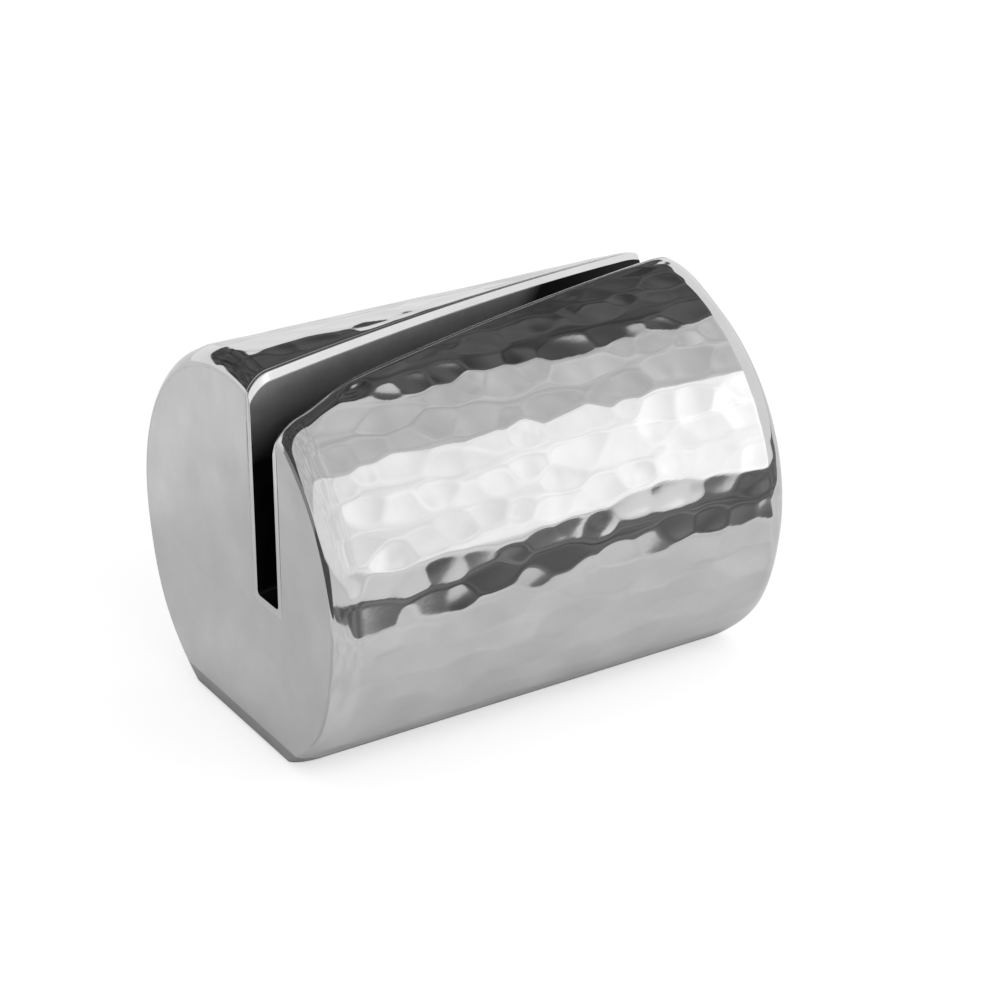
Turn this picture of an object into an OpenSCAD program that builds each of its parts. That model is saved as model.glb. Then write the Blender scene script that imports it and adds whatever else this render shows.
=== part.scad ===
// Place card holder: a small hammered metal barrel that lies on a flat base, with a
// slanted slot sawn through its crown from end to end for a place card.
//
// It is built up from sheet: two hammered panels, two end plates, a thin channel
// that lines the slot, and a base plate that closes the body from below.
//
// +Z is up, X runs along the barrel and the front is at -Y. The origin is under
// the middle of the flat base. All lengths are in millimetres.

/* [Barrel] */
// Length of the barrel over its two end faces
barrel_len = 38; // [30:0.5:70]
// Diameter of the barrel over the hammered panels
barrel_d = 30.5; // [27:0.5:50]
// Width of the flat that the barrel stands on
base_w = 15.1; // [12:0.1:18]
// How far each end is turned in, from the barrel's round to the edge of its face
end_drop = 1.1; // [0.5:0.1:1.1]
// Angle through which the skin turns towards the face before it meets it
end_turn = 60; // [45:5:90]

/* [Sheet] */
// Thickness of the hammered panels
panel_t = 1.2; // [1.2:0.1:2.5]
// Thickness of the end plates
end_t = 1.5; // [1:0.1:3]
// Thickness of the base plate
base_t = 1.2; // [0.8:0.1:2]
// Radius that eases the lower edges of the base plate
base_ease = 0.4; // [0.2:0.05:0.6]

/* [Card slot] */
// Width of the slot between the channel's walls
slot_w = 3; // [2:0.1:5]
// Depth of the slot below the crown
slot_depth = 16.5; // [10:0.5:20]
// Angle of the slot to the barrel's axis, seen from above
slot_angle = 12; // [0:1:18]
// Distance of the slot in front of the barrel's middle, at half length
slot_ahead = 1; // [0:0.1:2]
// Thickness of the channel that lines the slot
channel_t = 0.5; // [0.3:0.1:1]

/* [Hammering] */
// Distance between the centres of the hammer marks
mark_pitch = 3.1; // [2.8:0.1:6]
// Radius of the hammer's ball face
hammer_r = 12; // [8:0.5:12]
// Depth of the deepest marks
mark_depth = 0.09; // [0.04:0.01:0.09]
// Plain margin between the marks and the panel's edges
mark_margin = 0.8; // [0.5:0.1:3]

/* [Hidden] */
$fn = 96;

// Overrun of every cut past the faces that it opens
over = 1;

barrel_r = barrel_d / 2;
// Height of the barrel's axis above the base, from the chord that the flat cuts
axis_h = sqrt(pow(barrel_r, 2) - pow(base_w / 2, 2));
crown_h = axis_h + barrel_r;
inner_r = barrel_r - panel_t;
// Radius and length of the arc that turns each end in
roll_r = end_drop / (1 - cos(end_turn));
roll_len = roll_r * sin(end_turn);
channel_w = slot_w + 2 * channel_t;
slot_floor = crown_h - slot_depth;

// The hammer marks stand in rows along the barrel, counted in turns from the
// crown, every other row shifted by half a pitch
row_angle = mark_pitch * sqrt(3) / 2 / barrel_r * 180 / PI;
lowest_angle = 90 + acos(base_w / 2 / barrel_r)
    - (mark_margin + base_t + mark_pitch / 2) / barrel_r * 180 / PI;
rows = floor(lowest_angle / row_angle);
hammered_half = barrel_len / 2 - roll_len - mark_margin - mark_pitch / 2;
columns = floor(hammered_half / mark_pitch);
// How far a mark strays from its place, how much shallower it may be, and how far
// a blow can reach, all as shares of the pitch or the depth
stray_share = 0.12;
shallow_share = 0.45;
reach_share = 0.48;
reach = mark_pitch * reach_share;
reach_rise = hammer_r - sqrt(pow(hammer_r, 2) - pow(reach, 2));

// An even spread of values from -1 to 1 that stands in for the smith's hand
function hand(a, b) = sin(a * 1171 + b * 727 + 90 * sin(a * 311 + b * 137));

// Across the barrel, the line that the slot's middle follows
function slot_y(x) = -slot_ahead + x * tan(slot_angle);

// The round of the barrel, turned in along an arc at both ends and cut to length
module barrel_form(r) {
    straight = barrel_len - 2 * roll_len;
    intersection() {
        translate([0, 0, axis_h]) rotate([0, 90, 0]) rotate_extrude($fn = 180) {
            translate([0, -straight / 2]) square([r, straight]);
            translate([0, -straight / 2 - roll_r]) square([r - roll_r, straight + 2 * roll_r]);
            for (end = [-1, 1])
                translate([r - roll_r, end * straight / 2]) circle(roll_r);
        }
        bar(r + over, -barrel_len / 2, barrel_len / 2);
    }
}

// A straight round bar along the barrel's axis
module bar(r, from_x, to_x) {
    translate([from_x, 0, axis_h]) rotate([0, 90, 0]) cylinder(r = r, h = to_x - from_x, $fn = 180);
}

// Everything above a height
module above(z) {
    translate([-barrel_len / 2 - over, -barrel_r - over, z])
        cube([barrel_len + 2 * over, barrel_d + 2 * over, crown_h - z + over]);
}

// A slab of the given width that stands in the slot's place, from a height upwards
module slot_slab(width, from_z) {
    long = barrel_len / cos(slot_angle) + 2 * (width + over);
    translate([0, -slot_ahead, from_z]) rotate([0, 0, slot_angle])
        translate([-long / 2, -width / 2, 0]) cube([long, width, crown_h - from_z + over]);
}

// All that stands on the base plate to one side of the slot's middle: front for
// -1, back for 1
module one_side(side) {
    long = barrel_len / cos(slot_angle) + 2 * (barrel_d + over);
    deep = barrel_d + slot_ahead + over;
    translate([0, -slot_ahead, base_t]) rotate([0, 0, slot_angle])
        translate([-long / 2, side < 0 ? -deep : 0, 0]) cube([long, deep, crown_h]);
}

// What one blow takes away: the tip of the hammer's ball, and a collar above it
module blow() {
    rotate_extrude($fn = 48) {
        intersection() {
            translate([0, hammer_r]) circle(hammer_r);
            square([reach, reach_rise]);
        }
        translate([0, reach_rise]) square([reach, over]);
    }
}

// All the blows on one side of the slot
module hammer_marks(side) {
    for (row = [0 : rows], column = [-columns - 1 : columns]) {
        angle = side * (row + stray_share * hand(row, column * side)) * row_angle;
        x = (column + 0.5 * (row % 2) + 0.25 + stray_share * hand(column * side, row + 3)) * mark_pitch;
        depth = mark_depth * (1 - shallow_share * (0.5 + 0.5 * hand(row + 5, column + side)));
        y = barrel_r * sin(angle);
        clear = side * (y - slot_y(x)) - channel_w / 2 / cos(slot_angle);
        if (abs(x) <= hammered_half && clear > mark_margin + mark_pitch / 2)
            translate([x, 0, axis_h]) rotate([-angle, 0, 0])
                translate([0, 0, barrel_r - depth]) blow();
    }
}

// One hammered panel, rolled to the barrel's round, from the base up to the slot
module hammered_panel(side) {
    color("silver") difference() {
        intersection() {
            barrel_form(barrel_r);
            one_side(side);
        }
        bar(inner_r, -barrel_len / 2 - over, barrel_len / 2 + over);
        slot_slab(channel_w, slot_floor - channel_t);
        hammer_marks(side);
    }
}

module front_panel() {
    hammered_panel(-1);
}

module back_panel() {
    hammered_panel(1);
}

// A flat end plate inside the panels' round, notched for the channel
module end_plate(end) {
    inside = barrel_len / 2 - end_t;
    color("gainsboro") difference() {
        intersection() {
            bar(inner_r, end < 0 ? -barrel_len / 2 : inside, end < 0 ? -inside : barrel_len / 2);
            above(base_t);
        }
        slot_slab(channel_w, slot_floor - channel_t);
    }
}

module left_end_plate() {
    end_plate(-1);
}

module right_end_plate() {
    end_plate(1);
}

// The folded channel that lines the slot, cut off flush with the barrel all round
module slot_channel() {
    color("darkgray") difference() {
        intersection() {
            barrel_form(barrel_r);
            slot_slab(channel_w, slot_floor - channel_t);
        }
        slot_slab(slot_w, slot_floor);
    }
}

// A strip along X, seen end on, with both lower corners eased
module eased_strip(width) {
    translate([-width / 2, base_ease]) square([width, base_t - base_ease]);
    translate([-width / 2 + base_ease, 0]) square([width - 2 * base_ease, base_t]);
    for (end = [-1, 1])
        translate([end * (width / 2 - base_ease), base_ease]) circle(base_ease);
}

// The flat base plate that closes the body and carries panels and end plates
module base_plate() {
    color("lightgray") intersection() {
        barrel_form(barrel_r);
        rotate([90, 0, 0]) translate([0, 0, -barrel_r]) linear_extrude(barrel_d)
            eased_strip(barrel_len);
    }
}

front_panel();
back_panel();
left_end_plate();
right_end_plate();
slot_channel();
base_plate();
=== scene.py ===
# %% [markdown]
# # A hammered card holder
#
# The object is a small barrel of planished metal that lies on a narrow flat. A slot
# runs through its crown at a slant and holds a place card. Six pieces make it up: two
# hammered panels, two end plates, the channel in the slot and the plate underneath.
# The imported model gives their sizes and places, so it is loaded before anything else.

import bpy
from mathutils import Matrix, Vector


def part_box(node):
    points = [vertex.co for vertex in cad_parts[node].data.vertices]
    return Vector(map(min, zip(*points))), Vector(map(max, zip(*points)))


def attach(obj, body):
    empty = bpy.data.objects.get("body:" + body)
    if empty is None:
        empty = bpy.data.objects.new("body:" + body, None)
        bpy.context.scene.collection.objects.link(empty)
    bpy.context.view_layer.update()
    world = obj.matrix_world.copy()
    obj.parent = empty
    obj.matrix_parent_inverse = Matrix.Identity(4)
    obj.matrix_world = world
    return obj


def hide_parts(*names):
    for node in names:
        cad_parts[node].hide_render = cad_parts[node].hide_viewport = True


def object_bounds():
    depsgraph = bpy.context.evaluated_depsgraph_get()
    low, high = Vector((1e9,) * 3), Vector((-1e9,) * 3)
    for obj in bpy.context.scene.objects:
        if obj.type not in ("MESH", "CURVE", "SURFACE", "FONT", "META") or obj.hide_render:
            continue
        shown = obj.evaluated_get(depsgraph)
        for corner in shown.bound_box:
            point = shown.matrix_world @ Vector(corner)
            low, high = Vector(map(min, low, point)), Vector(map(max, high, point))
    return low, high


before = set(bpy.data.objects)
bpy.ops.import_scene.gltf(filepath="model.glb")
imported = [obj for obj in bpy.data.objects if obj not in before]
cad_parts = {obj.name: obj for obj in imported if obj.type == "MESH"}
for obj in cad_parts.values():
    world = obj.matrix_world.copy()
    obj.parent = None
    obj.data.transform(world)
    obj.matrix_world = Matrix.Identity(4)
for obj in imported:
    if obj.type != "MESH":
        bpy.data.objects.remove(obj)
cad_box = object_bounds()
print("nodes:", ", ".join(sorted(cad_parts)))

# %% [markdown]
# ## Sizes
#
# What the model's boxes tell is read from them: the length, the round, the thickness of
# the plates. What a box can't tell, such as the slot's slant, is written here once, in
# millimetres, and turned into Blender's metres on the way.

# %% Sizes of the barrel
import math

import bmesh
import bpy
import numpy as np
from mathutils import Matrix, Vector

MM = 0.001
low, high = cad_box
HALF = (high.x - low.x) / 2
R = (high.y - low.y) / 2
AXIS = high.z - R
BASE_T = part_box("base_plate")[1].z
END_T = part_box("left_end_plate")[1].x + HALF
PANEL_T = 1.2 * MM
INNER_R = R - PANEL_T
print(f"barrel {2000 * HALF:.1f} long, {2000 * R:.1f} across, axis {1000 * AXIS:.2f} up")

# %% Sizes of the slot
SLOT_ANGLE = math.radians(12)
SLOT_W = 3 * MM
SLOT_AHEAD = 1 * MM
SLOT_DEPTH = 16.5 * MM
CHANNEL_T = 0.5 * MM
LIP_WIDE = 0.27 * MM
LIP_SLOPE = math.tan(math.radians(57))
LIP_SOFT = 0.03 * MM
SLOT_FLOOR = high.z - SLOT_DEPTH
HALF_SLOT = SLOT_W / 2 / math.cos(SLOT_ANGLE)
HALF_CHANNEL = (SLOT_W / 2 + CHANNEL_T) / math.cos(SLOT_ANGLE)


def slot_y(x):
    """Across the barrel, the slot's middle: a straight line that slants back as x grows."""
    return x * math.tan(SLOT_ANGLE) - SLOT_AHEAD


for title, end in (("left", -HALF), ("right", HALF)):
    print(f"the slot runs out at y {1000 * slot_y(end):.1f} at the {title} end")

# %% [markdown]
# ## Surfaces from two parameters
#
# Every piece is sheet metal, so every piece is made alike: one grid of points is its
# shown face, a second grid with as many points is its hidden face, and a strip round
# the border closes the two into a solid. The pieces could be cut from a cylinder with
# Boolean modifiers, but cuts leave slivers that a mirror finish shows. The grids are
# whole numpy arrays, so a shape is one formula and no loop runs over its points.

# %% Grids into closed solids
def grid_faces(rows, columns, start, flip):
    """The quads of a grid whose points are numbered row by row from start."""
    corner = start + np.arange(rows - 1)[:, None] * columns + np.arange(columns - 1)[None, :]
    quads = np.stack([corner, corner + 1, corner + columns + 1, corner + columns], -1)
    quads = quads.reshape(-1, 4)
    return quads[:, ::-1] if flip else quads


def border_loop(rows, columns):
    """The numbers of a grid's border points, once round."""
    number = np.arange(rows * columns).reshape(rows, columns)
    return np.concatenate([number[0, :-1], number[:-1, -1], number[-1, :0:-1], number[:0:-1, 0]])


def mesh_object(name, points, faces):
    """A mesh from arrays of points and faces. Its object sits at the origin."""
    mesh = bpy.data.meshes.new(name)
    mesh.from_pydata(points.tolist(), [], faces.tolist())
    mesh.validate()
    mesh.shade_smooth()
    piece = bpy.data.objects.new(name, mesh)
    bpy.context.scene.collection.objects.link(piece)
    return piece


def sheet_solid(name, shown, hidden, flip=False):
    """A closed solid between two grids of the same size, with the border joined by quads."""
    rows, columns, _ = shown.shape
    count = rows * columns
    loop = border_loop(rows, columns)
    after = np.roll(loop, -1)
    rim = np.stack([loop, loop + count, after + count, after], -1)
    faces = np.vstack([
        grid_faces(rows, columns, 0, flip),
        grid_faces(rows, columns, count, not flip),
        rim[:, ::-1] if flip else rim,
    ])
    points = np.vstack([shown.reshape(-1, 3), hidden.reshape(-1, 3)])
    return mesh_object(name, points, faces)


# %% Clean faces and sharp edges
SAME_POINT = 0.0001 * MM


def crease(piece, degrees):
    """Merges doubled points, turns all faces outwards and keeps the steep edges sharp.

    A closed shell whose faces look outwards has a volume above zero. On a thin folded
    strip the recalculated faces can all look inwards, so the volume is looked at too.
    """
    work = bmesh.new()
    work.from_mesh(piece.data)
    bmesh.ops.remove_doubles(work, verts=work.verts, dist=SAME_POINT)
    bmesh.ops.recalc_face_normals(work, faces=work.faces)
    if work.calc_volume(signed=True) < 0:
        bmesh.ops.reverse_faces(work, faces=work.faces)
    volume = work.calc_volume(signed=True)
    work.to_mesh(piece.data)
    work.free()
    piece.data.set_sharp_from_angle(angle=math.radians(degrees))
    print(f"{piece.name}: {len(piece.data.polygons)} faces round {volume / MM ** 3:.0f} cubic mm")


# %% [markdown]
# ## Round edges by formula
#
# An edge that is rounded drops away along a quarter circle: nothing at the radius's
# distance from the edge, and the full radius at the edge itself. An edge that is only
# turned in follows the first part of a larger circle and then stops. Points are packed
# closer on both, at equal steps of the circle's angle. A Bevel modifier would give all
# edges the same round, and here each piece has several kinds.

# %% The round of an edge
def edge_drop(distance, radius):
    """How far a quarter-circle edge has dropped at a distance in from the edge."""
    inside = np.clip(radius - distance, 0, radius)
    return radius - np.sqrt(radius ** 2 - inside ** 2)


def turned_drop(distance, radius, deep):
    """The same for an edge that follows a circle only until it has dropped by a depth."""
    length = np.sqrt(radius ** 2 - (radius - deep) ** 2)
    return edge_drop(distance + radius - length, radius)


def edge_steps(radius, count):
    """Distances from the edge, at equal angles round the quarter circle."""
    turn = np.linspace(0, np.pi / 2, count)
    return radius * (1 - np.cos(turn))


def along(length, pitch, edge):
    """Places from 0 to length, about a pitch apart, with the edge's own steps at both ends."""
    count = max(3, int((length - 2 * edge[-1]) / pitch))
    middle = np.linspace(edge[-1], length - edge[-1], count)
    return np.concatenate([edge[:-1], middle, (length - edge[:-1])[::-1]])


def smooth(value):
    """A soft step: 0 below 0, 1 above 1, and an S between them."""
    value = np.clip(value, 0, 1)
    return value * value * (3 - 2 * value)


# %% [markdown]
# ## The plain form under the hammering
#
# Three things take the barrel away from a plain round. Its skin is turned in at both
# ends, but less so close to the base, and hardly over the crown where the slot runs out
# at the right. A narrow bevel finishes the turn where it meets the end plate. And the
# slot's lips are worn: the front one rolls over more and more towards the left end, the
# back one only a little. The first two are drops of the radius and the last is a drop in
# height. The panels, the channel, the discs and the base share them and meet without a
# step.

# %% The turned-in ends
END_DROP = 1.1 * MM
END_TURN = math.radians(60)
ROLL_R = END_DROP / (1 - math.cos(END_TURN))
BEVEL = 0.13 * MM
BEVEL_STEPS, TURN_STEPS = 8, 18
BASE_SHARE = 0.4
BASE_FADE = (math.radians(98), math.radians(132))
CROWN_SHARE = 0.25
CROWN_MIDDLE, CROWN_REACH, CROWN_FADE = math.radians(-15), math.radians(15), math.radians(26)
turn_steps = ROLL_R * (math.sin(END_TURN) - np.sin(np.linspace(0, END_TURN, TURN_STEPS)))
END_STEPS = np.union1d(edge_steps(BEVEL, BEVEL_STEPS), turn_steps)


def end_drop(x, angle):
    """How much the ends shrink the radius at x, at an angle from the crown to the front."""
    inward = HALF - np.abs(x)
    fade = smooth((np.abs(angle) - BASE_FADE[0]) / (BASE_FADE[1] - BASE_FADE[0]))
    crown = smooth((np.abs(angle - CROWN_MIDDLE) - CROWN_REACH) / CROWN_FADE)
    crown = CROWN_SHARE + (1 - CROWN_SHARE) * crown
    share = (1 - (1 - BASE_SHARE) * fade) * np.where(x > 0, crown, 1)
    return turned_drop(inward, ROLL_R, END_DROP) * share + edge_drop(inward, BEVEL)


def plain_radius(x, angle):
    """Radius of the barrel without hammer marks, at an angle from the crown to the front."""
    return R - end_drop(x, angle)


def seam_radius(x, side):
    """The same where the panel on that side meets the channel."""
    return plain_radius(x, -np.arcsin((slot_y(x) + side * HALF_CHANNEL) / R))


print(f"ends turned in by {1000 * END_DROP:.1f} on an arc of {1000 * ROLL_R:.1f}")

# %% The worn lips
WEAR_R = 2.4 * MM
FRONT_WEAR, FRONT_FROM, FRONT_LENGTH = 1.9 * MM, -11 * MM, 8 * MM
BACK_WEAR = (0.11 * MM, 0.2 * MM)
TURN_TAKES = 0.27


def lip_wear(x, y, side):
    """How much lower the skin lies near the slot because its lip has been rolled over.

    The lip follows a circle until it has dropped by its depth at x, and the turn of the
    end takes a share of that depth.
    """
    if side < 0:
        deep = FRONT_WEAR * smooth((FRONT_FROM - x) / FRONT_LENGTH)
    else:
        deep = BACK_WEAR[0] + (BACK_WEAR[1] - BACK_WEAR[0]) * smooth(x / HALF)
    deep = deep * (1 - TURN_TAKES * end_drop(x, 0) / (END_DROP + BEVEL))
    from_wall = np.maximum(side * (y - slot_y(x)) - HALF_SLOT, 0)
    return turned_drop(from_wall, WEAR_R, deep)


for x in (-HALF, 0, HALF):
    worn = 1000 * lip_wear(x, slot_y(x) - HALF_SLOT, -1)
    print(f"front lip worn by {worn:.2f} at x {1000 * x:.0f}")

# %% [markdown]
# ## The hammer marks
#
# A planishing hammer has a slightly domed face. Each blow leaves a shallow round hollow,
# and the next blow, a little further on, cuts into its rim. So the skin is the lowest
# of many shallow bowls, and the plain round where no bowl reaches. The bowls meet in
# soft ridges because the piece was polished afterwards. A bump map could fake the
# shading, but only real hollows bend the reflections of a mirror-bright skin and show
# along its outline, so they go into the mesh.

# %% Where the blows fall
BLOW_PITCH = 2.6 * MM
BLOW_COLUMNS = 9
BLOW_STRAY = 0.28
HAMMER_R = (21 * MM, 70 * MM)
BLOW_DEPTH = (0.03 * MM, 0.075 * MM)
AROUND = 2 * np.pi * R
draw = np.random.default_rng(3)


def blow_places():
    """Staggered rows of blows round the whole barrel, each strayed a little at random.

    Gives the place of each, along the barrel and round it, the radius of the bowl that
    it leaves, and how deep the bowl is.
    """
    rows = round(AROUND / (BLOW_PITCH * math.sqrt(3) / 2) / 2) * 2
    columns = np.arange(-BLOW_COLUMNS, BLOW_COLUMNS + 1)
    row, column = np.meshgrid(np.arange(rows), columns, indexing="ij")
    x = (column + 0.5 * (row % 2)) * BLOW_PITCH
    s = row * AROUND / rows - AROUND / 2
    stray = draw.uniform(-BLOW_STRAY, BLOW_STRAY, (2,) + x.shape) * BLOW_PITCH
    places = np.stack([x + stray[0], s + stray[1]], -1).reshape(-1, 2)
    radius = draw.uniform(*HAMMER_R, len(places))
    depth = draw.uniform(*BLOW_DEPTH, len(places))
    return places, radius, depth


BLOWS = blow_places()
print(len(BLOWS[0]), "blows")

# %% How deep the skin lies
RIDGE_SOFT = 0.006 * MM


def hammered(x, s):
    """Height of the skin over the plain round, at x along it and s round it.

    Each blow is a bowl: along the barrel, distance squared over twice the hammer's
    radius, and round it the same plus what the barrel's own round falls away, less the
    blow's depth. The skin is the soft minimum of all the bowls and of zero.
    """
    total = np.zeros(x.shape)
    for (bx, bs), radius, depth in zip(*BLOWS):
        ds = (s - bs + AROUND / 2) % AROUND - AROUND / 2
        bowl = ((x - bx) ** 2 + ds ** 2) / (2 * radius) + ds ** 2 / (2 * R) - depth
        total = np.logaddexp(total, -bowl / RIDGE_SOFT)
    return -RIDGE_SOFT * total


# %% [markdown]
# ## The two hammered panels
#
# Each panel goes round the barrel from the slot's lip to the base plate. One parameter
# runs along the barrel, the other round it, and since the slot slants, the angle where
# the panel starts changes along the way. A skin cut by a slanted slot afterwards would
# end in a ragged row of faces, so the grid itself follows the lip. The blows fade out
# on the burnished ends and at the seams.

# %% Build a panel
SKIN_PITCH = 0.2 * MM
PANEL_TURN = math.pi * 0.75
SEAM_ROUND, SEAM_STEPS = 0.07 * MM, 5
HAIR = 0.02 * MM
CALM_FROM, CALM_LENGTH = 0.5 * MM, 0.9 * MM


def panel_angles(x, lip_radius, foot_radius, side, share):
    """Angles from the seam at the slot down to the base plate, for the radius at each."""
    lip = np.arcsin((side * slot_y(x) + HALF_CHANNEL) / lip_radius)
    foot = np.arccos((BASE_T - AXIS) / foot_radius)
    return lip + (foot - lip) * share, lip, foot


def inside_ends(x):
    """From 0 at the ends of the barrel to 1 where its sheet is whole and hammered."""
    return smooth((HALF - np.abs(x) - CALM_FROM) / CALM_LENGTH)


def under_skin(x, radius):
    """Radius of the hidden face.

    At the ends, where the end plate's rim lies, it is a hair under the skin, and further
    in it is the sheet's inner face.
    """
    inner = np.minimum(INNER_R, radius - HAIR)
    return radius - HAIR + (inner - radius + HAIR) * inside_ends(x)


def panel(name, side):
    """The panel in front of the slot for side -1, behind it for side 1."""
    x = along(2 * HALF, SKIN_PITCH, END_STEPS) - HALF
    seam_steps = edge_steps(SEAM_ROUND / R / PANEL_TURN, SEAM_STEPS)
    share = along(1, SKIN_PITCH / R / PANEL_TURN, seam_steps)
    x, share = np.meshgrid(x, share, indexing="ij")
    lip_radius, foot_radius = seam_radius(x, side), plain_radius(x, np.pi)
    angle, lip, foot = panel_angles(x, lip_radius, foot_radius, side, share)
    from_seam = R * np.minimum(angle - lip, foot - angle)
    radius = plain_radius(x, -side * angle) - edge_drop(from_seam, SEAM_ROUND)
    calm = inside_ends(x) * smooth(from_seam / CALM_LENGTH)
    radius = radius + calm * hammered(x, side * R * angle)
    inner_lip, inner_foot = under_skin(x, lip_radius), under_skin(x, foot_radius)
    inner_angle, _, _ = panel_angles(x, inner_lip, inner_foot, side, share)

    def surface(r, a):
        y = side * r * np.sin(a)
        return np.stack([x, y, AXIS + r * np.cos(a) - lip_wear(x, y, side)], -1)

    hidden = surface(under_skin(x, radius), inner_angle)
    return sheet_solid(name, surface(radius, angle), hidden, flip=side < 0)


front_skin = panel("hammered_front", -1)
back_skin = panel("hammered_back", 1)
for skin in (front_skin, back_skin):
    crease(skin, 50)

# %% [markdown]
# ## The channel in the slot
#
# The channel is one strip folded to a U. Its walls rise to the barrel's round, where
# they were rubbed down flush with the panels and their inner edges filed to a steep
# flat: the back one is the bright line along the slot. The path across it runs from one
# seam over the lip, down the wall, round a small corner, across the floor and up again.
# A strip with a Solidify modifier would have one thickness and a square edge, so both
# faces are written out. Faces on the lips and on the border, which shows on the end
# faces, get a material of their own: filed smoother, and painted brighter as a highlight.

# %% The path across the channel
CORNER = 0.35 * MM
LIP_POINTS, WALL_POINTS, CORNER_POINTS, UNDER_POINTS = 20, 14, 7, 6
WALL_START = 0.1


def barrel_top(x, y, side):
    """Height of the unhammered barrel above the table, at a place seen from above."""
    radius = plain_radius(x, -np.arcsin(y / R))
    return AXIS + np.sqrt(radius ** 2 - y ** 2) - lip_wear(x, y, side)


def lip_drop(from_wall):
    """How far the filed lip has dropped: a steep flat that begins at LIP_WIDE from the wall."""
    flat = (LIP_WIDE - from_wall) * LIP_SLOPE
    return 0.5 * (flat + np.sqrt(flat ** 2 + 4 * LIP_SOFT ** 2))


def channel_face(x, side):
    """One half of the channel's inner face: places across and heights, lip to floor."""
    middle = slot_y(x)[:, None]
    lip = np.linspace(HALF_CHANNEL - HALF_SLOT, 0, LIP_POINTS)
    y = middle + (side * (HALF_SLOT + lip))[None, :]
    z = barrel_top(x[:, None], y, side) - lip_drop(lip)[None, :]
    turn = np.linspace(0, np.pi / 2, CORNER_POINTS)
    corner_y = HALF_SLOT - CORNER * (1 - np.cos(turn))
    corner_z = SLOT_FLOOR + CORNER * (1 - np.sin(turn))
    fall = np.linspace(WALL_START, 1, WALL_POINTS)[:-1] ** 2
    wall_z = z[:, -1:] + (corner_z[0] - z[:, -1:]) * fall[None, :]
    wall_y = middle + side * HALF_SLOT + 0 * wall_z
    bend_y = middle + side * corner_y[None, :]
    bend_z = corner_z[None, :] + 0 * bend_y
    return np.concatenate([y, wall_y, bend_y], 1), np.concatenate([z, wall_z, bend_z], 1)


# %% Build the channel
CHANNEL_PITCH = 0.5 * MM
# The outer face lies this much lower, so that its points don't merge with the inner ones
TRACE = 0.05 * HAIR


def channel_back(x, side, count):
    """One half of its outer face: down the seam and in under the floor, point for point."""
    under = SLOT_FLOOR - CHANNEL_T
    top = barrel_top(x, slot_y(x) + side * HALF_CHANNEL, side)[:, None]
    fall = np.linspace(0, 1, count - UNDER_POINTS)
    z = top + (under - top) * fall[None, :]
    z = np.concatenate([z, np.full((len(x), UNDER_POINTS), under)], 1) - TRACE
    down = np.full(count - UNDER_POINTS, HALF_CHANNEL)
    inward = np.linspace(HALF_CHANNEL, HALF_SLOT / 3, UNDER_POINTS + 1)[1:]
    return slot_y(x)[:, None] + side * np.concatenate([down, inward])[None, :], z


def bright_faces(rows, columns):
    """A 1 for each face on the lips and round the border, and a 0 for all others."""
    lip = np.zeros((rows - 1, columns - 1), int)
    lip[:, :LIP_POINTS - 1] = 1
    lip[:, 1 - LIP_POINTS:] = 1
    around = 2 * (rows + columns) - 4
    return np.concatenate([lip.ravel(), np.zeros(lip.size, int), np.ones(around, int)])


def channel(name):
    """The whole folded strip, as a solid between its inner and outer faces."""
    x = along(2 * HALF, CHANNEL_PITCH, END_STEPS) - HALF
    inner = [channel_face(x, side) for side in (-1, 1)]
    outer = [channel_back(x, side, inner[0][0].shape[1]) for side in (-1, 1)]
    grids = []
    for (front_y, front_z), (back_y, back_z) in (inner, outer):
        y = np.concatenate([front_y, back_y[:, ::-1]], 1)
        z = np.concatenate([front_z, back_z[:, ::-1]], 1)
        grids.append(np.stack([x[:, None] + 0 * y, y, z], -1))
    strip = sheet_solid(name, *grids)
    strip.data.polygons.foreach_set("material_index", bright_faces(*grids[0].shape[:2]))
    return strip


slot_liner = channel("slot_liner")
crease(slot_liner, 40)

# %% [markdown]
# ## The end plates
#
# An end plate is a disc cut off by the base and notched for the channel. A disc with a
# Boolean cut would be one large many-sided face, on which gloss shades badly. Straight
# lines from the notch's U out to the rim cover the plate evenly and without a gap: the
# front wall looks at the front of the rim, the floor at the base, the back wall at the
# back. The flat of a hand-finished plate is never quite flat, so a slow swell of a
# hundredth of a millimetre keeps its reflections alive.

# %% The notch and the rim
PLATE_POINTS = 60


def rim_point(end, angle, side):
    """Where the plate meets the panel's bevel: y and height, at an angle from the crown."""
    x = end * HALF
    radius = plain_radius(x, -side * angle) - HAIR
    y = side * radius * np.sin(angle)
    return y, AXIS + radius * np.cos(angle) - lip_wear(x, y, side)


def plate_curves(end):
    """The notch and the rim, matched point for point, as arrays of y and height.

    Both run down the front, across underneath and up the back. A corner where two
    stretches meet is kept once.
    """
    x = end * HALF
    under = SLOT_FLOOR - CHANNEL_T
    foot = math.acos((BASE_T - AXIS) / plain_radius(x, math.pi))
    t = np.linspace(0, 1, PLATE_POINTS)
    walls, rims = [], []
    for side in (-1, 1):
        wall = slot_y(x) + side * HALF_CHANNEL
        start = math.asin(side * wall / seam_radius(x, side))
        rim_y, rim_z = rim_point(end, start + (foot - start) * t, side)
        rims.append((rim_y, rim_z))
        walls.append((np.full(PLATE_POINTS, wall), rim_z[0] + (under - rim_z[0]) * t))
    keep = np.ones(3 * PLATE_POINTS, bool)
    keep[[PLATE_POINTS, 2 * PLATE_POINTS]] = False
    curves = []
    for (front_y, front_z), (back_y, back_z) in (walls, rims):
        across = front_y[-1] + (back_y[-1] - front_y[-1]) * t
        level = np.full(PLATE_POINTS, front_z[-1])
        curves.append(np.concatenate([front_y, across, back_y[::-1]])[keep])
        curves.append(np.concatenate([front_z, level, back_z[::-1]])[keep])
    return curves


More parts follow.
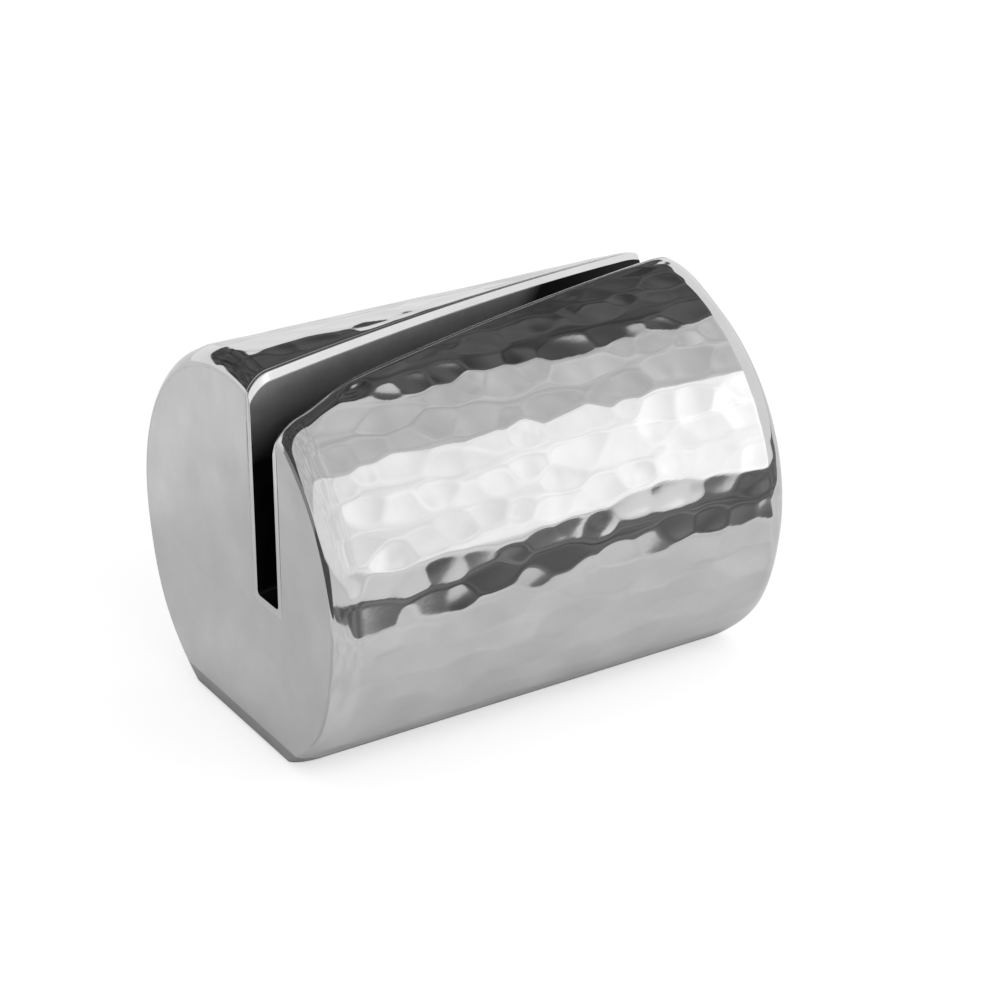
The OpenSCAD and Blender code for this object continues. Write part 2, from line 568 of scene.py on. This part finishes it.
# %% Build an end plate
PLATE_STEP = 0.025
PLATE_EDGE, PLATE_EDGE_STEPS = 0.005, 4
NOTCH_EDGE, RIM_EDGE = 0.06 * MM, 0.015 * MM
SWELL = 0.012 * MM
SWELL_WAVES = ((410, 180, 0.3), (-260, 390, 1.9), (620, -510, 4.0), (150, 820, 2.6))
# The swell dies out over the last fifth of the way to the rim
SWELL_FADE = 5


def swell(y, z):
    """A slow, shallow unevenness: a few crossing waves of different length."""
    waves = sum(np.sin(a * y + b * z + c) for a, b, c in SWELL_WAVES)
    return SWELL * waves / len(SWELL_WAVES)


def end_disc(name, end):
    """The plate at the left end for -1, at the right end for 1."""
    notch_y, notch_z, rim_y, rim_z = plate_curves(end)
    share = along(1, PLATE_STEP, edge_steps(PLATE_EDGE, PLATE_EDGE_STEPS))[None, :]
    y = notch_y[:, None] + (rim_y - notch_y)[:, None] * share
    z = notch_z[:, None] + (rim_z - notch_z)[:, None] * share
    reach = np.hypot(rim_y - notch_y, rim_z - notch_z)[:, None]
    inward = edge_drop(share * reach, NOTCH_EDGE) + edge_drop((1 - share) * reach, RIM_EDGE)
    hollow = np.minimum(swell(y, z), 0) * np.minimum(1, (1 - share) * SWELL_FADE)
    face = np.stack([end * (HALF - inward + hollow), y, z], -1)
    back = np.stack([np.full_like(y, end * (HALF - END_T)), y, z], -1)
    return sheet_solid(name, face, back, flip=end > 0)


left_disc = end_disc("end_disc_left", -1)
right_disc = end_disc("end_disc_right", 1)
for disc in (left_disc, right_disc):
    crease(disc, 40)

# %% [markdown]
# ## The base plate
#
# The plate underneath is flat below and flush with the barrel's round at its sides, so
# its section is a chord with a bit of arc at each end. Where flat and arc meet, the
# corner is eased. It could be a flat box, but the box's square sides would stand out
# from the round, so the section is carried along the barrel and shrinks with the ends.

# %% Build the base plate
BASE_PITCH = 1 * MM
BASE_EASE = 0.4 * MM
SIDE_POINTS, FLAT_POINTS = 9, 15


def base_sole(name):
    """The section from one upper edge, down the arc, across the flat and up again."""
    x = along(2 * HALF, BASE_PITCH, END_STEPS) - HALF
    radius = plain_radius(x, np.pi)[:, None]
    lift = edge_drop(HALF - np.abs(x), BASE_EASE)[:, None]
    side_z = np.maximum(np.linspace(1, 0, SIDE_POINTS)[None, :] * BASE_T, lift)
    side_y = np.sqrt(radius ** 2 - (AXIS - side_z) ** 2)
    flat_y = side_y[:, -1:] * np.linspace(1, -1, FLAT_POINTS)[None, 1:-1]
    y = np.concatenate([-side_y, -flat_y, side_y[:, ::-1]], 1)
    z = np.concatenate([side_z, lift + 0 * flat_y, side_z[:, ::-1]], 1)
    top_y = side_y[:, :1] * np.linspace(-1, 1, y.shape[1])[None, :]
    x = x[:, None] + 0 * y
    hidden = np.stack([x, top_y, np.full_like(top_y, BASE_T)], -1)
    return sheet_solid(name, np.stack([x, y, z], -1), hidden, flip=True)


sole = base_sole("base_sole")
crease(sole, 35)

# %% [markdown]
# ## Shader groups
#
# Real polish isn't even. Two effects turn up in every finish here, so each is a node
# group: a slow clouding of the polish, and the fine lines that a buffing wheel leaves.
# A third tells how deep a point lies, for the painted shade inside the slot. Each group
# gives a mask that changes over the surface, and the material decides what to do with
# it. The same nodes could be copied into each material, but then a change would be made
# five times.

# %% Helpers for node trees
def feed(tree, slot, value):
    """Sets a socket to a number, or links another socket to it."""
    if isinstance(value, (int, float)):
        slot.default_value = value
    else:
        tree.links.new(value, slot)


def math_node(tree, operation, first, second=0):
    """A Math node fed by sockets or numbers; gives its output socket."""
    node = tree.nodes.new("ShaderNodeMath")
    node.operation = operation
    feed(tree, node.inputs[0], first)
    feed(tree, node.inputs[1], second)
    return node.outputs[0]


def spread(tree, value, to_range, from_range=(0, 1)):
    """Maps a value from one range to another and keeps it there; gives its socket."""
    node = tree.nodes.new("ShaderNodeMapRange")
    titles = ("To Min", "To Max", "From Min", "From Max")
    for title, number in zip(titles, (*to_range, *from_range)):
        feed(tree, node.inputs[title], number)
    tree.links.new(value, node.inputs["Value"])
    return node.outputs[0]


def object_place(tree):
    """Where a point lies in its piece, as a vector socket."""
    return tree.nodes.new("ShaderNodeTexCoord").outputs["Object"]


def object_axes(tree):
    """The same as three sockets, by the names of the axes."""
    split = tree.nodes.new("ShaderNodeSeparateXYZ")
    tree.links.new(object_place(tree), split.inputs[0])
    return split.outputs


def noise_over(tree, place, scale, detail):
    """Noise over a place; gives its socket."""
    noise = tree.nodes.new("ShaderNodeTexNoise")
    feed(tree, noise.inputs["Scale"], scale)
    noise.inputs["Detail"].default_value = detail
    tree.links.new(place, noise.inputs["Vector"])
    return noise.outputs["Fac"]


# %% Groups in and out of materials
def new_group(name, inputs):
    """An empty shader group with float inputs and one mask; gives it and its two ends."""
    group = bpy.data.node_groups.new(name, "ShaderNodeTree")
    made = group.interface.new_socket
    for title, value in inputs:
        socket = made(name=title, in_out="INPUT", socket_type="NodeSocketFloat")
        socket.default_value = value
    made(name="Mask", in_out="OUTPUT", socket_type="NodeSocketFloat")
    into, out = group.nodes.new("NodeGroupInput"), group.nodes.new("NodeGroupOutput")
    return group, into.outputs, out.inputs["Mask"]


def place_group(tree, group, values):
    """Places a group in a material with values of its own; gives its mask."""
    node = tree.nodes.new("ShaderNodeGroup")
    node.node_tree = group
    for title, value in values.items():
        node.inputs[title].default_value = value
    return node.outputs["Mask"]


# %% Clouding of the polish
def clouding_group():
    """Layered noise on object coordinates, stretched about its middle within 0..1."""
    group, into, mask = new_group("polish_clouding", [("Scale", 200.0), ("Contrast", 1.5)])
    noise = noise_over(group, object_place(group), into["Scale"], 5)
    noise.node.inputs["Roughness"].default_value = 0.6
    centred = math_node(group, "SUBTRACT", noise, 0.5)
    stretched = math_node(group, "MULTIPLY", centred, into["Contrast"])
    lifted = math_node(group, "ADD", stretched, 0.5)
    lifted.node.use_clamp = True
    group.links.new(lifted, mask)
    return group


# %% Buffing lines
def buffing_group():
    """Noise squeezed across one direction, so that it draws fine lines along it."""
    group, into, mask = new_group("buffing_lines", [("Along", 60.0), ("Across", 2400.0)])
    axes = object_axes(group)
    join = group.nodes.new("ShaderNodeCombineXYZ")
    for axis, title in (("X", "Along"), ("Y", "Across"), ("Z", "Across")):
        scaled = math_node(group, "MULTIPLY", axes[axis], into[title])
        group.links.new(scaled, join.inputs[axis])
    group.links.new(noise_over(group, join.outputs[0], 1, 3), mask)
    return group


# %% How deep a point lies
def depth_group():
    """From 0 to 1 between two depths below the barrel's round, by the distance from its axis.

    Beyond a place along the barrel, the way past it counts as depth too, by its share.
    """
    inputs = [("From", 0.001), ("To", 0.004), ("Beyond", 0.005), ("Share", 1.5)]
    group, into, mask = new_group("depth_below_round", inputs)
    axes = object_axes(group)
    height = math_node(group, "SUBTRACT", axes["Z"], AXIS)
    upward = math_node(group, "MULTIPLY", height, height)
    sideways = math_node(group, "MULTIPLY", axes["Y"], axes["Y"])
    radius = math_node(group, "SQRT", math_node(group, "ADD", upward, sideways))
    depth = math_node(group, "SUBTRACT", R, radius)
    past = math_node(group, "SUBTRACT", axes["X"], into["Beyond"])
    past = math_node(group, "MULTIPLY", math_node(group, "MAXIMUM", past), into["Share"])
    depth = math_node(group, "ADD", depth, past)
    group.links.new(spread(group, depth, (0, 1), (into["From"], into["To"])), mask)
    return group


CLOUDING = clouding_group()
BUFFING = buffing_group()
DEPTH = depth_group()
print("groups:", CLOUDING.name, BUFFING.name, DEPTH.name)

# %% [markdown]
# ## The finishes
#
# All pieces are the same bright alloy, and the last step of the work differs. The
# panels are mirror polished, the ends are satin, the slot's edges are filed bright, its
# inside was never buffed, and the flat underneath is rubbed on paper. Some colours also
# hold painted light: the filed edges are painted brighter as a highlight, the slot's
# inside is painted darker with depth as shade, and the flat underneath is painted darker
# as the shade at the foot. One even metal for all would look too clean to be real, and
# five separate node trees would drift apart. So one function makes them all from two
# colours, a range of roughness and the depth of the buffing lines.

# %% One metal, several finishes
CLOUD_CONTRAST = 2.2


def new_material(name):
    """A material and its node tree."""
    material = bpy.data.materials.new(name)
    material.use_nodes = True
    return material, material.node_tree


def blend_colours(tree, mask, first, second):
    """Mixes two colours, or a socket and a colour, by a mask; gives the colour socket."""
    mix = tree.nodes.new("ShaderNodeMix")
    mix.data_type = "RGBA"
    for slot, colour in zip([s for s in mix.inputs if s.type == "RGBA"], (first, second)):
        if isinstance(colour, tuple):
            slot.default_value = (*colour, 1)
        else:
            tree.links.new(colour, slot)
    tree.links.new(mask, mix.inputs[0])
    return [s for s in mix.outputs if s.type == "RGBA"][0]


def metal(name, bright, dull, rough, cloud_scale, lines, line_depth, line_rough=0.0):
    """Bright metal whose polish clouds between two colours and two values of roughness."""
    material, tree = new_material(name)
    shader = tree.nodes["Principled BSDF"]
    shader.inputs["Metallic"].default_value = 1
    cloud = place_group(tree, CLOUDING, {"Scale": cloud_scale, "Contrast": CLOUD_CONTRAST})
    buff = place_group(tree, BUFFING, {"Along": lines[0], "Across": lines[1]})
    colour = blend_colours(tree, cloud, bright, dull)
    tree.links.new(colour, shader.inputs["Base Color"])
    added = math_node(tree, "MULTIPLY", buff, line_rough)
    roughness = math_node(tree, "ADD", spread(tree, cloud, rough), added)
    tree.links.new(roughness, shader.inputs["Roughness"])
    bump = tree.nodes.new("ShaderNodeBump")
    bump.inputs["Strength"].default_value = 1
    bump.inputs["Distance"].default_value = line_depth
    tree.links.new(buff, bump.inputs["Height"])
    tree.links.new(bump.outputs["Normal"], shader.inputs["Normal"])
    return material


def paint_shade_inside(material, start, end, dark):
    """Paints shade into a material's colour: takes it down to a dark one between two depths below
    the round.
    """
    tree = material.node_tree
    slot = tree.nodes["Principled BSDF"].inputs["Base Color"]
    depth = place_group(tree, DEPTH, {"From": start, "To": end})
    tree.links.new(blend_colours(tree, depth, slot.links[0].from_socket, dark), slot)


# %% The five finishes
polished = metal(
    "planished_mirror", (0.64, 0.64, 0.645), (0.59, 0.59, 0.595), (0.04, 0.09),
    cloud_scale=260, lines=(900, 900), line_depth=0.0015 * MM)
satin = metal(
    "satin_ends", (0.74, 0.74, 0.745), (0.67, 0.67, 0.675), (0.26, 0.36),
    cloud_scale=230, lines=(1400, 1400), line_depth=0.004 * MM, line_rough=0.06)
unbuffed_and_shaded = metal(
    "unbuffed_channel_painted_shade", (0.66, 0.66, 0.66), (0.46, 0.46, 0.46), (0.38, 0.52),
    cloud_scale=420, lines=(90, 2200), line_depth=0.004 * MM, line_rough=0.08)
# The channel's colour is painted darker with depth, and more so past x 5 mm: painted shade inside
# the slot, where the walls block the light.
paint_shade_inside(unbuffed_and_shaded, 2.8 * MM, 6.0 * MM, (0.03, 0.03, 0.03))
# The filed lips and border are smoother, and their colour is painted brighter than the alloy: a
# painted highlight.
edges = metal(
    "filed_edges_painted_highlight", (0.75, 0.75, 0.755), (0.69, 0.69, 0.695), (0.14, 0.24),
    cloud_scale=300, lines=(900, 900), line_depth=0.0015 * MM)
# The flat underneath is rubbed on paper, and its colour is painted darker than the alloy: painted
# shade at the barrel's foot.
rubbed_and_shaded = metal(
    "rubbed_base_painted_shade", (0.46, 0.46, 0.46), (0.40, 0.40, 0.40), (0.28, 0.42),
    cloud_scale=300, lines=(90, 3000), line_depth=0.005 * MM, line_rough=0.1)
print("finishes:", ", ".join(m.name for m in (polished, satin, unbuffed_and_shaded, edges, rubbed_and_shaded)))

# %% Finish and seat each piece, and hide the imported part it stands for
FINISH = (
    (front_skin, polished, "hammered_skin", "front_panel"),
    (back_skin, polished, "hammered_skin", "back_panel"),
    (left_disc, satin, "satin_plate", "left_end_plate"),
    (right_disc, satin, "satin_plate", "right_end_plate"),
    (slot_liner, unbuffed_and_shaded, "channel_metal", "slot_channel"),
    (sole, rubbed_and_shaded, "base_metal", "base_plate"),
)
for piece, finish, record_slot, node in FINISH:
    piece.data.materials.append(finish)
    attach(piece, "root")
    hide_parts(node)
slot_liner.data.materials.append(edges)
print(len(FINISH), "pieces stand for", len(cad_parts), "nodes")

# %% [markdown]
# ## The camera
#
# A camera was fitted to the barrel's outline: it looks down at 25 degrees and from 32
# degrees to the left, from 13 barrel radii away. It is placed from those few numbers,
# in radii, so that it follows the barrel's size. A constraint that tracks the object
# would aim at its middle, and the picture isn't centred on that.

# %% Place the camera
AZIMUTH, ELEVATION = math.radians(-32.43), math.radians(25.11)
DISTANCE, SHIFT_RIGHT, SHIFT_UP = 13.255 * R, -0.186 * R, 0.008 * R
FOCAL_PX, FRAME_PX, SENSOR = 2719.6, 1000, 36.0
back = Vector((
    math.sin(AZIMUTH) * math.cos(ELEVATION),
    -math.cos(AZIMUTH) * math.cos(ELEVATION),
    math.sin(ELEVATION),
))
right = Vector((math.cos(AZIMUTH), math.sin(AZIMUTH), 0))
up = back.cross(right)
lens = bpy.data.cameras.new("camera")
lens.sensor_width = SENSOR
lens.lens = FOCAL_PX * SENSOR / FRAME_PX
lens.clip_start = 0.01
lens.clip_end = 20
camera = bpy.data.objects.new("camera", lens)
bpy.context.scene.collection.objects.link(camera)
target = Vector((0, 0, AXIS))
camera.location = target + DISTANCE * back - SHIFT_RIGHT * right - SHIFT_UP * up
camera.rotation_euler = Matrix((right, up, back)).transposed().to_euler()
bpy.context.scene.camera = camera
print(f"lens {lens.lens:.1f} mm, camera {1000 * DISTANCE:.0f} mm away")

# %% [markdown]
# ## The light
#
# A mirror shows what stands round it, so the bands on the barrel are the studio: a dark
# gap overhead, a pale ceiling, a soft box above the front that glows brighter to the
# right, and a dark table beyond the paper that the barrel stands on. Lamps would show
# as bright spots and leave the rest black, so cards that glow take their place. The
# overhead cards run along the barrel, bent round it like a tunnel, so each one is an arc
# from one angle to another, counted from straight above towards the front. They end not
# far past the barrel: what lies beyond their ends is what the rounded rims show.

# %% Glowing cards
def glow(name, strengths, patches, patch_size, span=(0, 1)):
    """Emission that goes from one strength to another along x, over the span.

    No card in a studio is even: patches tell by what share the noise dims and lifts it.
    """
    material, tree = new_material(name)
    tree.nodes.clear()
    ramp = spread(tree, object_axes(tree)["X"], strengths, span)
    noise = noise_over(tree, object_place(tree), 1 / patch_size, 1)
    uneven = spread(tree, noise, (1 - patches, 1 + patches))
    light = tree.nodes.new("ShaderNodeEmission")
    tree.links.new(math_node(tree, "MULTIPLY", ramp, uneven), light.inputs["Strength"])
    out = tree.nodes.new("ShaderNodeOutputMaterial")
    tree.links.new(light.outputs[0], out.inputs["Surface"])
    return material


def one_face(name, points):
    """A flat mesh of one face, from its corners."""
    return mesh_object(name, np.array(points), np.arange(len(points))[None, :])


def finish_card(card, material, lights=False):
    """Marks a card as part of the studio. The camera never sees it."""
    card.data.materials.append(material)
    card.visible_camera = False
    card.visible_diffuse = lights
    card.visible_shadow = False


# %% Cards bent round the barrel
TUNNEL_R = 0.45
ARC_POINTS = 24
ARC_SPAN, ARC_PATCH = (0.16, 0.34), 0.05
LEFT_END, BOX_END, RIGHT_END = -1.8, -0.06, 0.37


def arc_card(name, from_deg, to_deg, ends, strengths, patches, lights=False):
    """A card from one angle to another, and from one x to another, at the tunnel's radius."""
    angle = np.radians(np.linspace(from_deg, to_deg, ARC_POINTS))
    x, angle = np.meshgrid(np.array(ends), angle, indexing="ij")
    y, z = -TUNNEL_R * np.sin(angle), AXIS + TUNNEL_R * np.cos(angle)
    points = np.stack([x, y, z], -1).reshape(-1, 3)
    card = mesh_object(name, points, grid_faces(2, ARC_POINTS, 0, True))
    finish_card(card, glow(name, strengths, patches, ARC_PATCH, ARC_SPAN), lights)


arc_card("dark_gap", -68, -7, (LEFT_END, RIGHT_END), (0.09, 0.11), 1.2)
arc_card("dark_gap_low", -75, -68, (-0.2, 0.14), (0.09, 0.09), 1.2)
arc_card("pale_ceiling", -7, 32, (LEFT_END, RIGHT_END), (0.72, 0.80), 0.45)
arc_card("soft_box", 32, 88, (BOX_END, RIGHT_END), (1.10, 1.58), 0.25, lights=True)
arc_card("soft_box_left", 32, 88, (LEFT_END, BOX_END), (1.05, 1.05), 0.25)

# %% The dark table in front and the greys at the left
TABLE_LIFT, TABLE_PATCH = 0.4 * MM, 0.016


def table_card(name, outline, strength, patches=0.8):
    """A flat card just above the floor, from the corners of its outline."""
    card = one_face(name, [(x, y, TABLE_LIFT) for x, y in outline])
    finish_card(card, glow(name, (strength, strength), patches, TABLE_PATCH))


def standing_card(name, foot, height, strength):
    """An upright card over a line on the floor, given by the line's two ends."""
    (x0, y0), (x1, y1) = foot
    card = one_face(name, [(x0, y0, 0), (x1, y1, 0), (x1, y1, height), (x0, y0, height)])
    finish_card(card, glow(name, (strength, strength), patches=0.4, patch_size=0.1))


table_card("dark_table", (
    (-0.072, -0.043), (-0.066, -0.022), (-0.053, -0.029), (-0.045, -0.041),
    (-0.033, -0.050), (-0.012, -0.049), (0.060, -0.042), (1.5, -0.042),
    (1.5, -2.2), (0.36, -0.58), (0.034, -0.108), (-0.042, -0.118), (-0.062, -0.081),
), 0.19, 1.3)
table_card("dark_table_left", (
    (-0.055, -0.024), (-0.05, 0.022), (-0.8, 0.10), (-0.8, -0.3),
), 0.10)
# This grey card is painted shade on the floor by the barrel's left end: only reflections see it,
# and they darken there.
table_card("floor_shade_left", (
    (-0.021, -0.012), (-0.021, 0.035), (-0.043, 0.035), (-0.043, -0.012),
), 0.58, 0.3)
table_card("grey_table_left", (
    (-0.05, 0.022), (-0.05, 0.04), (-0.63, 0.49), (-0.8, 0.10),
), 0.33)
standing_card("grey_left", ((-0.8, 0.03), (-0.63, 0.49)), height=0.17, strength=0.33)

# %% [markdown]
# ## The floor and the white around
#
# The barrel stands on pale paper in a white room. More light would turn the paper white
# but would also burn out the metal, so the light stays plain and the paper and the room
# are lifted only where the camera looks straight at them, and in what metal reflects.
# In the barrel's reflections the paper's glow falls off towards it: a painted shadow,
# where paper lies in shade underneath a thing that stands on it.

# %% Which rays see the lift
def sent_on(tree, path):
    """One for rays that a polished or clear surface sends on."""
    return math_node(tree, "MAXIMUM", path["Is Glossy Ray"], path["Is Transmission Ray"])


def seen_directly(tree):
    """One for those rays and for rays from the camera."""
    path = tree.nodes.new("ShaderNodeLightPath").outputs
    return math_node(tree, "MAXIMUM", path["Is Camera Ray"], sent_on(tree, path))


def way_from_barrel(tree):
    """How far a point of the floor lies from the flat that the barrel stands on."""
    axes = object_axes(tree)
    squares = []
    for axis, half in (("X", HALF), ("Y", R / 2)):
        beyond = math_node(tree, "SUBTRACT", math_node(tree, "ABSOLUTE", axes[axis]), half)
        beyond = math_node(tree, "MAXIMUM", beyond)
        squares.append(math_node(tree, "MULTIPLY", beyond, beyond))
    return math_node(tree, "SQRT", math_node(tree, "ADD", *squares))


# %% The floor
FLOOR_HALF = 3.0
# Two surfaces in one plane flicker, so the floor lies a hair lower than the barrel's flat
FLOOR_DROP = 0.05 * MM
FLOOR_GREY = 0.82
CAMERA_LIFT = 0.57
METAL_LIFT = (0.13, 0.53)
SHADE_REACH = 3 * MM
PAPER_PATCH = 0.006


def paper_lift(tree):
    """How much the paper glows.

    For the camera it is one value. In metal it is patchy, and falls off towards the
    barrel as the way over the way plus a reach: a painted shadow round its foot.
    """
    path = tree.nodes.new("ShaderNodeLightPath").outputs
    direct = math_node(tree, "MULTIPLY", path["Is Camera Ray"], CAMERA_LIFT)
    way = way_from_barrel(tree)
    # Falls off near the barrel: painted shadow in the paper's reflections.
    shadow_falloff = math_node(tree, "DIVIDE", way, math_node(tree, "ADD", way, SHADE_REACH))
    noise = noise_over(tree, object_place(tree), 1 / PAPER_PATCH, 1)
    uneven = spread(tree, noise, METAL_LIFT)
    bent = math_node(tree, "MULTIPLY", sent_on(tree, path), shadow_falloff)
    return math_node(tree, "ADD", direct, math_node(tree, "MULTIPLY", bent, uneven))


def pale_floor():
    """A wide pale floor that catches the soft shadow and turns white where it is lit."""
    corners = ((-1, -1), (1, -1), (1, 1), (-1, 1))
    floor = one_face("floor", [(FLOOR_HALF * x, FLOOR_HALF * y, -FLOOR_DROP) for x, y in corners])
    material, tree = new_material("pale_floor")
    shader = tree.nodes["Principled BSDF"]
    shader.inputs["Base Color"].default_value = (FLOOR_GREY, FLOOR_GREY, FLOOR_GREY, 1)
    shader.inputs["Roughness"].default_value = 0.9
    shader.inputs["Specular IOR Level"].default_value = 0.0
    shader.inputs["Emission Color"].default_value = (1, 1, 1, 1)
    tree.links.new(paper_lift(tree), shader.inputs["Emission Strength"])
    floor.data.materials.append(material)


pale_floor()


# %% The world
def studio_world(seen, lighting):
    """White to the camera and in gloss, and a weaker even light on everything else."""
    world = bpy.data.worlds.new("studio")
    bpy.context.scene.world = world
    world.use_nodes = True
    tree = world.node_tree
    background = tree.nodes["Background"]
    background.inputs["Color"].default_value = (1, 1, 1, 1)
    strength = spread(tree, seen_directly(tree), (lighting, seen))
    tree.links.new(strength, background.inputs["Strength"])


studio_world(seen=1.0, lighting=0.55)
bpy.context.scene.view_settings.view_transform = "Standard"
print("stage set")

# %% [markdown]
# ## The imported model's box
#
# The looks must not change the size. The box of the imported model is printed, in
# millimetres.

# %% Print the imported model's box
print("cad box", [round(1000 * v, 2) for c in cad_box for v in c])
